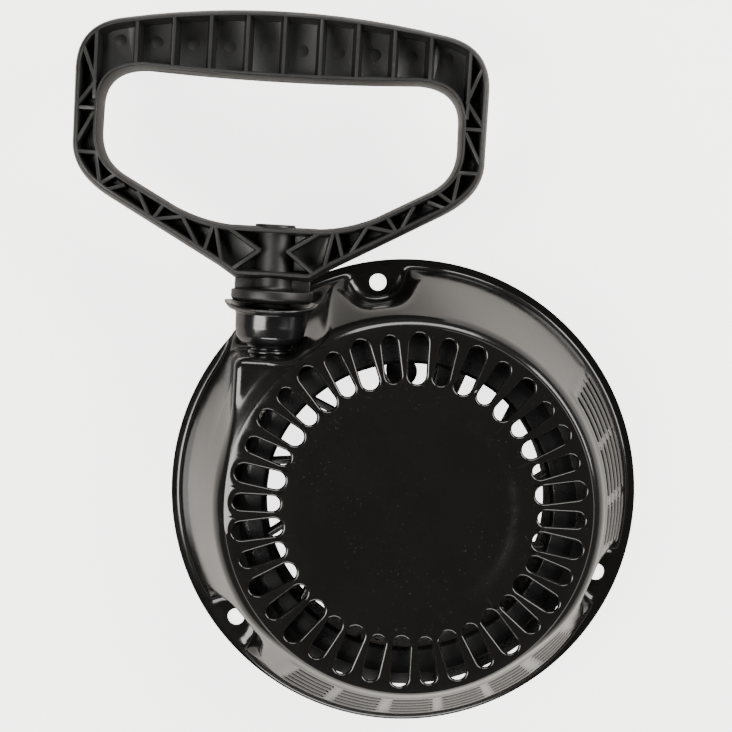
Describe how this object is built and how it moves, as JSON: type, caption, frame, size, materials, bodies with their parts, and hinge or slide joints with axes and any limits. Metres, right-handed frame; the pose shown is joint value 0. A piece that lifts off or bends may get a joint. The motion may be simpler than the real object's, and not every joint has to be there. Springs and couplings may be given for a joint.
{
  "type": "recoil starter",
  "caption": "Recoil starter for a small engine: black pressed-steel housing with a vented crown, spoked rope reel, pawls and a D-shaped pull handle",
  "frame": {"origin": "the middle of the object's footprint, on the plane that the mounting flange rests on", "axes": "+Z is along the reel's axis out through the crown, +Y runs from the reel towards the pull handle, and the pull line leans 3.2 degrees from it to +X"},
  "size_m": [0.2566, 0.3279, 0.069],
  "materials": {
    "black_paint": "gloss black enamel on pressed steel",
    "grip_plastic": "satin black moulded plastic",
    "gloss_plastic": "gloss black moulded plastic",
    "reel_plastic": "black moulded nylon with a low gloss",
    "guide_nylon": "dark grey moulded nylon",
    "spring_steel": "blued spring steel, lightly oiled",
    "zinc_steel": "zinc plated steel",
    "pawl_steel": "sintered steel",
    "rope_fibre": "braided off-white nylon rope"
  },
  "bodies": {
    "casing": {"housing": "black_paint", "centre_post": "zinc_steel", "centre_bolt": "zinc_steel", "thrust_washer": "zinc_steel", "guide_washer": "zinc_steel", "brake_spring": "spring_steel", "rope_guide": "gloss_plastic", "rope_guide_clip": "zinc_steel"},
    "rope_reel": {"reel": "reel_plastic", "rewind_spring": "spring_steel", "rope_wound": "rope_fibre", "rope_knot_reel": "rope_fibre", "pawl_pin_1": "zinc_steel", "pawl_pin_2": "zinc_steel", "pawl_spring_1": "spring_steel", "pawl_spring_2": "spring_steel"},
    "left_pawl": {"pawl_1": "pawl_steel"},
    "right_pawl": {"pawl_2": "pawl_steel"},
    "guide_plate": {"pawl_guide": "guide_nylon"},
    "pull_handle": {"handle": "grip_plastic", "rope_retainer": "zinc_steel", "rope_knot_handle": "rope_fibre", "rope_run": "rope_fibre"}
  },
  "joints": [
    {"name": "reel_turn", "type": "hinge", "parent": "casing", "child": "rope_reel", "pos_m": [0.0188, -0.0545, 0.03], "axis": [0, 0, -1], "range_deg": [0, 1040], "stiffness_Nm_per_rad": 0.03, "springref_deg": -343.77, "deforming": ["rewind_spring"]},
    {"name": "handle_pull", "type": "slide", "parent": "casing", "child": "pull_handle", "axis": [0.0558, 0.9984, 0], "range_m": [0, 1.25], "deforming": ["rope_run"]},
    {"name": "pawl_1_swing", "type": "hinge", "parent": "rope_reel", "child": "left_pawl", "pos_m": [0.0188, -0.0275, 0.016], "axis": [0, 0, 1], "range_deg": [0, 28], "stiffness_Nm_per_rad": 0.002, "springref_deg": -22.92, "deforming": ["pawl_spring_1"]},
    {"name": "pawl_2_swing", "type": "hinge", "parent": "rope_reel", "child": "right_pawl", "pos_m": [0.0188, -0.0815, 0.016], "axis": [0, 0, 1], "range_deg": [0, 28], "stiffness_Nm_per_rad": 0.002, "springref_deg": -22.92, "deforming": ["pawl_spring_2"]},
    {"name": "guide_turn", "type": "hinge", "parent": "rope_reel", "child": "guide_plate", "pos_m": [0.0188, -0.0545, 0.01], "axis": [0, 0, 1], "range_deg": [0, 25.3]}
  ],
  "couplings": [
    {"joint": "handle_pull", "follows": "reel_turn", "m_per_rad": 0.06885},
    {"joint": "pawl_2_swing", "follows": "pawl_1_swing", "ratio": 1},
    {"joint": "guide_turn", "follows": "pawl_1_swing", "ratio": 0.9}
  ]
}
